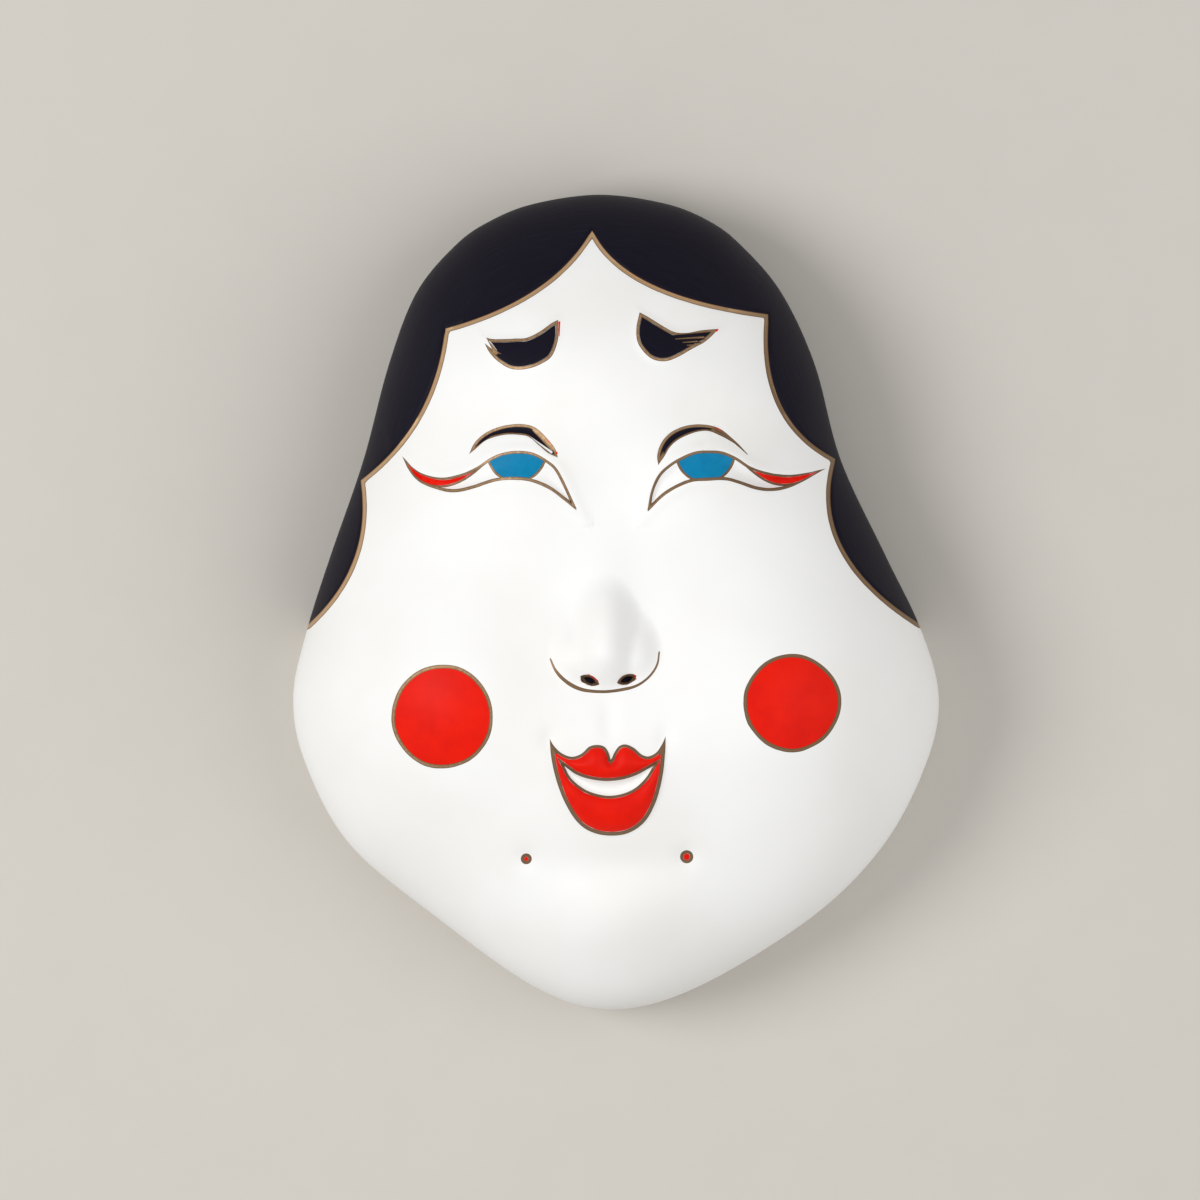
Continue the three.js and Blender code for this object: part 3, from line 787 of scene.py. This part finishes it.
class Graph:   # one material's nodes
    def __init__(self, name):
        self.material = bpy.data.materials.new(name)
        self.material.use_nodes = True
        self.tree = self.material.node_tree
        self.tree.nodes.clear()

    def node(self, kind, settings=(), inputs=(), output=0):
        made = self.tree.nodes.new(kind)
        for name, value in dict(settings).items():
            setattr(made, name, value)
        for name, value in dict(inputs).items():
            socket = made.inputs[name]
            if isinstance(value, Wire):
                self.tree.links.new(value.socket, socket)
            else:
                socket.default_value = value
        return Wire(self, made.outputs[output])

    def maths(self, operation, *values):
        return self.node("ShaderNodeMath", {"operation": operation}, dict(enumerate(values)))

    def mix(self, factor, first, second):
        settings = {"data_type": "RGBA"}
        return self.node("ShaderNodeMix", settings, {0: factor, 6: first, 7: second}, output=2)

    def attribute(self, name):
        return self.node("ShaderNodeAttribute", {"attribute_name": name}, output=2)

    def stretched(self, vector, *scale):
        return self.node("ShaderNodeMapping", (), {"Vector": vector, "Scale": scale})

    def noise(self, vector, scale, detail=2.0, roughness=0.5):
        inputs = {"Vector": vector, "Scale": scale, "Detail": detail, "Roughness": roughness}
        return self.node("ShaderNodeTexNoise", {"noise_dimensions": "3D"}, inputs)

    def ramp(self, value, start, end):
        inputs = {"Value": value, "From Min": start, "From Max": end, "To Min": 0.0, "To Max": 1.0}
        return self.node("ShaderNodeMapRange", {"interpolation_type": "SMOOTHSTEP"}, inputs)

    def bump(self, height, strength, distance, normal=None):
        inputs = {"Height": height, "Strength": strength, "Distance": distance}
        if normal:
            inputs["Normal"] = normal
        return self.node("ShaderNodeBump", (), inputs)

    def finish(self, shader):
        out = self.tree.nodes.new("ShaderNodeOutputMaterial")
        self.tree.links.new(shader.socket, out.inputs["Surface"])
        return self.material


# A colour as painters mix it, in 0 to 255, turned into the renderer's linear shares
def paintColour(red, green, blue):
    linear = [((c / 255 + 0.055) / 1.055) ** 2.4 if c > 10 else c / 255 / 12.92 for c in (red, green, blue)]
    return (*linear, 1.0)


coats = {   # two colours, and the values of the coat's pattern between which they change
    "ground": ((250, 250, 249), (247, 246, 243), (0.35, 0.7)),
    "red": ((238, 24, 0), (226, 18, 0), (0.3, 0.75)),
    "blue": ((0, 132, 178), (0, 124, 172), (0.3, 0.7)),
    "ink": ((13, 10, 26), (22, 19, 35), (0.45, 0.85)),
    "gold": ((176, 145, 110), (151, 121, 89), (0.35, 0.7)),
}
paintFinish = {
    "edgeSoftness": 0.06,           # millimetres over which a coat's edge fades
    "stray": (300.0, 0.12),         # cells to the metre, and millimetres that every edge strays
    "waver": (75.0, 1.1),           # the same for the edges of the cheek discs
    "groundCells": 28.0,            # cells to the metre of the coats' patterns
    "redCells": 160.0,
    "goldCells": 1400.0,
    "fineCells": 420.0,             # the blue's, which also varies the ground's roughness
    "strands": (3.2, 0.08),         # changes to the millimetre across and along the hair
    "hairGold": (208, 172, 131),    # the hairline's gold painted lighter, a painted highlight against the shade on the hair's step, and its share
    "hairGoldHighlightShare": 0.75,
    # Painted shade: the gold is mixed darker towards the lower right of the face, standing in for light that
    # falls off
    "goldPaintedShade": (122, 98, 73),
    "goldPaintedShadeShare": 0.85,
    "goldPaintedShadeRamp": (-32.0, 8.0),    # painted shade: millimetres to the right, less a share of those up, over which the gold darkens
    "goldPaintedShadeRampUp": 0.6,
    "goldEdge": (108, 79, 54),
    "goldEdgeWidth": 0.32,          # millimetres over which the gold is darker at its edges
    "matt": (0.56, 0.14),           # roughness of the ground, and how much it varies
    "inkRoughness": 0.55,
    "pigmentRoughness": 0.5,
    "goldRoughness": 0.42,
    "goldMetal": 0.35,
    "specular": 0.13,
    "brushCells": 520.0,            # brush marks, longer up the face by one over the stretch
    "brushStretch": 0.22,
    "lumpCells": 90.0,
    "relief": (0.5, 0.8, 1.6),      # shares of brush marks and lumps, and of the hair's strands
    "bump": (0.35, 0.00012),        # strength, and depth in metres
}


# Where each colour lies, in millimetres, positive inside its edge
def paintLayers(fields, x, y, waver):
    shapes = faceShapes(fields, x, y)
    towardsTemple = x.graph.ramp(sizeOf(x), *paint["tailThins"])
    lid, brow, crease, mouthShape = (shapes[name] for name in ("lid", "brow", "crease", "mouth"))

    def drawnEdge(edge, other):   # a line on an edge, as far as the shape's other edge
        half = paint[edge] - towardsTemple * paint["tailThinning"]
        return least(half - sizeOf(fields[edge]), fields[other] + paint["lineEnd"])

    def within(edge):   # past the line that runs inside an edge
        return fields[edge] - paint[edge]

    def around(edge):   # as far out as the line that runs outside an edge
        return fields[edge] + paint[edge]

    inBrow = brow - paint["brow"]
    inCrease = least(within("creaseTop"), within("creaseBottom"))
    inLips = least(within("mouthTop"), within("mouthBottom"),
                   -least(around("teethTop"), around("teethBottom")))
    discs = most(*(discField(centre, radii, x, y) for centre, radii in cheekDiscs)) + waver
    rings, cores = (most(*(discField(dimple[0], (dimple[k], dimple[k]), x, y) for dimple in dimples))
                    for k in (1, 2))
    core = most(*(almondField(centre, *paint["nostrilCore"], turn, x, y) for centre, turn in nostrils))
    wisps, strands, tails, lipFills, gaps, slips = (
        most(*(taperField(*stroke, x, y) for stroke in paint[name]))
        for name in ("wisps", "strands", "tails", "lipFills", "gaps", "slips"))
    tail = least(lid, fields["redEdge"]) + towardsTemple * paint["tailThinning"] - paint["tailInset"]
    overFace, overHair = paint["hairline"]
    hairGold = least(overHair - fields["hair"], fields["hair"] + overFace)
    gold = most(
        hairGold,
        least(brow, most(least(-inBrow, -strands), wisps)),
        least(crease, most(-inCrease, wisps), -strands),
        tails,
        drawnEdge("lidTop", "lidBottom"),
        drawnEdge("lidBottom", "lidTop"),
        least(paint["redEdge"] - sizeOf(fields["redEdge"]), fields["lidTop"], fields["lidBottom"]),
        least(paint["iris"] - sizeOf(shapes["iris"]), lid),
        least(mouthShape, most(-inLips, lipFills), -shapes["teeth"]),
        paint["cheek"] - sizeOf(discs),
        fields["noseWidth"] - sizeOf(fields["noseLine"]),
        least(shapes["nostril"], -core),
        least(rings, -cores),
    )
    return {   # from the lowest coat to the uppermost
        "red": most(tail, inLips, discs, cores),
        "blue": least(shapes["iris"], lid),
        "ink": most(most(fields["hair"] - overHair, strands, core) + paint["inkOverlap"],
                    inBrow, crease - paint["inkUnder"]),
        "gold": least(gold, -gaps, -tail),
        "bare": gaps,
        "slips": slips,
        "hairGold": hairGold,   # the part of the gold that is the hairline's
    }


def paintedMaterial():
    g = Graph("painted_ground")
    look = paintFinish
    place = g.node("ShaderNodeTexCoord", output=3)
    parts = [g.node("ShaderNodeSeparateXYZ", (), {"Vector": place}, output=k) for k in (0, 1)]
    x, y = (part * (1 / millimetre) for part in parts)
    fields = {name: g.attribute(name) for name in outside[3]}
    cells, amount = look["stray"]
    stray = (g.noise(place, cells, 2.0) - 0.5) * amount
    cells, amount = look["waver"]
    waver = (g.noise(place, cells, 1.0) - 0.5) * amount
    layers = paintLayers(fields, x + stray, y + stray, waver)
    softness = look["edgeSoftness"]
    red, blue, ink, gold, bare, slips, hairGold = (g.ramp(layer + stray, -softness, softness)
                                                   for layer in layers.values())
    fine = g.noise(place, look["fineCells"], 4.0, 0.6)
    acrossHair, alongHair = look["strands"]
    strandPlace = g.node("ShaderNodeCombineXYZ", (), {
        "X": g.attribute("strandAcross") * acrossHair,
        "Y": g.attribute("strandAlong") * alongHair,
    })
    strands = g.noise(strandPlace, 1.0, 3.0, 0.6)
    patterns = {
        "ground": g.noise(place, look["groundCells"], 3.0),
        "red": g.noise(place, look["redCells"], 4.0),
        "blue": fine,
        "ink": strands,
        "gold": g.noise(place, look["goldCells"], 3.0),
    }
    coat = {name: g.mix(g.ramp(patterns[name], *change), paintColour(*first), paintColour(*second))
            for name, (first, second, change) in coats.items()}

    # Painted shade on the gold lines, growing towards the lower right of the face
    paintedShade = g.ramp(x - y * look["goldPaintedShadeRampUp"], *look["goldPaintedShadeRamp"])
    middleOfLine = g.ramp(layers["gold"], 0.0, look["goldEdgeWidth"])
    # Painted highlight: the hairline's gold is mixed lighter to offset the shade on the hair's step
    goldCoat = g.mix(hairGold * look["hairGoldHighlightShare"], coat["gold"], paintColour(*look["hairGold"]))
    goldCoat = g.mix(paintedShade * look["goldPaintedShadeShare"], goldCoat, paintColour(*look["goldPaintedShade"]))
    coat["gold"] = g.mix(middleOfLine, paintColour(*look["goldEdge"]), goldCoat)
    base = coat["ground"]
    for cover, name in ((red, "red"), (blue, "blue"), (ink, "ink"), (gold, "gold"), (bare, "ground"),
                        (slips, "red")):
        base = g.mix(cover, base, coat[name])

    middle, variation = look["matt"]
    roughness = middle + (fine - 0.5) * variation
    for cover, value in ((ink, look["inkRoughness"]), (most(red, blue), look["pigmentRoughness"]),
                         (gold, look["goldRoughness"])):
        roughness = roughness + (value - roughness) * cover

    brushShare, lumpShare, strandShare = look["relief"]
    brushed = g.noise(g.stretched(place, 1.0, look["brushStretch"], 1.0), look["brushCells"], 3.0)
    height = brushed * brushShare + g.noise(place, look["lumpCells"], 2.0) * lumpShare
    height = height + (strands * strandShare - height) * ink
    shader = g.node("ShaderNodeBsdfPrincipled", (), {
        "Base Color": base,
        "Roughness": roughness,
        "Metallic": gold * look["goldMetal"],
        "Specular IOR Level": look["specular"],
        "Normal": g.bump(height, *look["bump"]),
    })
    return g.finish(shader)


woodFinish = {
    "light": (186, 140, 96),
    "dark": (140, 96, 58),
    "ringSpacing": 6.5,        # millimetres from one growth ring to the next
    "heart": (12.0, -60.0),    # where the tree's heart lies, across and below the rim
    "ringSharpness": 3.0,
    "drift": (22.0, 1.6),      # cells to the metre, and rings by which they drift
    "grainStretch": 0.1,       # fibre, patches and drift are longer along the grain by one over this
    "fibreCells": 1000.0,
    "patchCells": 60.0,
    "darkening": (0.28, 0.4, 0.35),   # by rings, fibre and patches, and the sums it begins and ends at
    "darkeningEnds": (0.15, 0.95),
    "gougeCells": 165.0,       # gouge cuts to the metre across the grain, longer along it by one over
    "gougeStretch": 0.5,       # the stretch
    "gougeSmoothness": 0.12,
    "gougeDepth": 0.0016,
    "fibreBump": (0.3, 0.0001),
    "roughness": (0.58, 0.2),
}


# The growth rings are circles round the tree's heart, drifting a little. The gouge cuts are smooth cells.
def bareWoodMaterial():
    g = Graph("bare_wood")
    look = woodFinish
    place = g.node("ShaderNodeTexCoord", output=3)
    grain = g.stretched(place, 1.0, look["grainStretch"], 1.0)
    across, up = (g.node("ShaderNodeSeparateXYZ", (), {"Vector": place}, output=k) * (1 / millimetre)
                  for k in (0, 2))
    heartAcross, heartUp = look["heart"]
    fromHeart = distanceOf(across - heartAcross, up - heartUp)
    cells, amount = look["drift"]
    drift = g.noise(grain, cells, 2.0) * amount
    wave = g.maths("SINE", (fromHeart / look["ringSpacing"] + drift) * (2 * math.pi))
    rings = (wave * 0.5 + 0.5) ** look["ringSharpness"]
    fibre = g.noise(grain, look["fibreCells"], 3.0, 0.6)
    patches = g.noise(grain, look["patchCells"], 3.0)
    byRings, byFibre, byPatches = look["darkening"]
    shade = g.ramp(rings * byRings + fibre * byFibre + patches * byPatches, *look["darkeningEnds"])
    base = g.mix(shade, paintColour(*look["light"]), paintColour(*look["dark"]))
    cellPlace = g.stretched(place, 1.0, look["gougeStretch"], 1.0)
    cuts = g.node("ShaderNodeTexVoronoi", {"feature": "SMOOTH_F1"}, {
        "Vector": cellPlace, "Scale": look["gougeCells"], "Smoothness": look["gougeSmoothness"]})
    middle, variation = look["roughness"]
    shader = g.node("ShaderNodeBsdfPrincipled", (), {
        "Base Color": base,
        "Roughness": middle + (fibre - 0.5) * variation,
        "Normal": g.bump(fibre, *look["fibreBump"], g.bump(cuts, 1.0, look["gougeDepth"])),
    })
    return g.finish(shader)


# Cord holes: a bore through the side and a flat seat inside, cut as closed round prisms

def roundCutter(name, middle, outward, diameter, start, length, sides=40):
    turn = np.linspace(0, 2 * math.pi, sides, endpoint=False)
    out = np.array([*outward, 0.0])
    level = np.array([-out[1], out[0], 0.0])
    up = np.array([0.0, 0.0, 1.0])
    ring = (np.cos(turn)[:, None] * level + np.sin(turn)[:, None] * up) * diameter / 2
    near, far = middle + out * start, middle + out * (start - length)
    points = np.vstack([ring + near, ring + far, near, far]) * millimetre
    k = np.arange(sides)
    n = (k + 1) % sides
    wall = np.stack([k, k + sides, n + sides, n], -1)
    caps = np.vstack([np.stack([k * 0 + 2 * sides, k, n], -1),
                      np.stack([k * 0 + 2 * sides + 1, n + sides, k + sides], -1)])
    mesh = bpy.data.meshes.new(name)
    mesh.from_pydata(points.tolist(), [], wall.tolist() + caps.tolist())
    return mesh


def cordCutters():
    cutters = []
    seatInside = shell["wall"] - shell["cordSeatDepth"]
    clear = 3.0       # how far the bore's cutter stands out past each end
    beside = 0.02     # turn to either side at which the outline is read for the way out
    for number, turn in enumerate(shell["cordTurns"]):
        a, b, here = (np.array(placesAt(t, outlineReach(t))) * (halfWidth, halfHeight)
                      for t in (turn - beside, turn + beside, turn))
        outward = np.array([a[1] - b[1], b[0] - a[0]])
        outward /= np.linalg.norm(outward)
        outward *= np.sign(outward @ here)
        middle = np.array([*here, shell["cordHeight"]])
        bore = shell["wall"] + shell["sideDraft"] + 2 * clear
        cutters.append(roundCutter(f"bore_{number}", middle, outward, shell["cordHole"], clear, bore))
        cutters.append(roundCutter(f"seat_{number}", middle, outward, shell["cordSeat"], -seatInside,
                                   shell["cordSeat"]))
    return cutters


def cutCordHoles(piece, wood):
    made = []
    for mesh in cordCutters():
        mesh.materials.append(wood)
        cutter = bpy.data.objects.new(mesh.name, mesh)
        bpy.context.scene.collection.objects.link(cutter)
        made.append(cutter)
        cut = piece.modifiers.new(mesh.name, "BOOLEAN")
        cut.operation = "DIFFERENCE"
        cut.solver = "EXACT"
        cut.material_mode = "TRANSFER"
        cut.object = cutter
    applied = bpy.data.meshes.new_from_object(piece.evaluated_get(bpy.context.evaluated_depsgraph_get()))
    piece.modifiers.clear()
    piece.data = applied
    for cutter in made:
        bpy.data.objects.remove(cutter)


angles, outside, below, inside = shellRings()
print("rings worked out:", outside[0].shape, below[0].shape, inside[0].shape)
painted, bareWood = paintedMaterial(), bareWoodMaterial()
shellMesh = buildShellMesh()
shellMesh.materials.append(painted)
shellMesh.materials.append(bareWood)
mask = bpy.data.objects.new("carved_mask", shellMesh)
bpy.context.scene.collection.objects.link(mask)
print("shell built:", len(shellMesh.vertices), "points")
cutCordHoles(mask, bareWood)
mask.data.set_sharp_from_angle(angle=math.radians(fineness["sharpAngle"]))
print("cord holes cut:", len(mask.data.polygons), "faces")

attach(mask, "root")
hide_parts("mask")


# Floor, lights and camera

studio = {
    "floor": (208, 203, 195),
    "floorGrain": (60.0, 3),    # cells to the metre, and how much darker they are of 255
    "key": ((-1.15, 0.05, 1.4), 0.9, 15.5),   # place in metres, size, watts
    "fill": ((1.1, -0.15, 1.3), 1.6, 8.2),
    "sky": 0.485,
    "imageSpan": 312.0,         # millimetres across the picture, in the plane of the outline
    "aim": (-4.16, 0.52),       # millimetres from the mask's middle to the picture's middle
    "lens": 1000.0,
    "sensor": 36.0,
}


def plainMaterial(name, rgb, roughness):
    g = Graph(name)
    cells, darker = studio["floorGrain"]
    grain = g.noise(g.node("ShaderNodeTexCoord", output=3), cells, 2.0)
    base = g.mix(grain, paintColour(*rgb), paintColour(*(c - darker for c in rgb)))
    return g.finish(g.node("ShaderNodeBsdfPrincipled", (), {"Base Color": base, "Roughness": roughness}))


def addFloor():
    span = 3.0
    corners = [(-span, -span, 0), (span, -span, 0), (span, span, 0), (-span, span, 0)]
    mesh = bpy.data.meshes.new("floor")
    mesh.from_pydata(corners, [], [(0, 1, 2, 3)])
    mesh.materials.append(plainMaterial("studio_floor", studio["floor"], 0.8))
    floor = bpy.data.objects.new("floor", mesh)
    bpy.context.scene.collection.objects.link(floor)


def addLight(name, place, size, watts):
    lamp = bpy.data.lights.new(name, "AREA")
    lamp.shape = "DISK"
    lamp.size = size
    lamp.energy = watts
    light = bpy.data.objects.new(name, lamp)
    light.location = place
    light.rotation_euler = (-light.location).to_track_quat("-Z", "Y").to_euler()
    bpy.context.scene.collection.objects.link(light)


def addWorld(strength):
    world = bpy.data.worlds.new("studio")
    world.use_nodes = True
    world.node_tree.nodes["Background"].inputs["Color"].default_value = (1, 1, 1, 1)
    world.node_tree.nodes["Background"].inputs["Strength"].default_value = strength
    bpy.context.scene.world = world


def addCamera():
    lens = bpy.data.cameras.new("camera")
    lens.lens, lens.sensor_width = studio["lens"], studio["sensor"]
    lens.clip_end = 100
    camera = bpy.data.objects.new("camera", lens)
    distance = studio["imageSpan"] * studio["lens"] / studio["sensor"]
    height = shell["sideHeight"] + distance
    camera.location = [c * millimetre for c in (*studio["aim"], height)]
    bpy.context.scene.collection.objects.link(camera)
    bpy.context.scene.camera = camera


addFloor()
addLight("key", *studio["key"])
addLight("fill", *studio["fill"])
addWorld(studio["sky"])
addCamera()
bpy.context.scene.view_settings.view_transform = "Standard"
print("studio set")
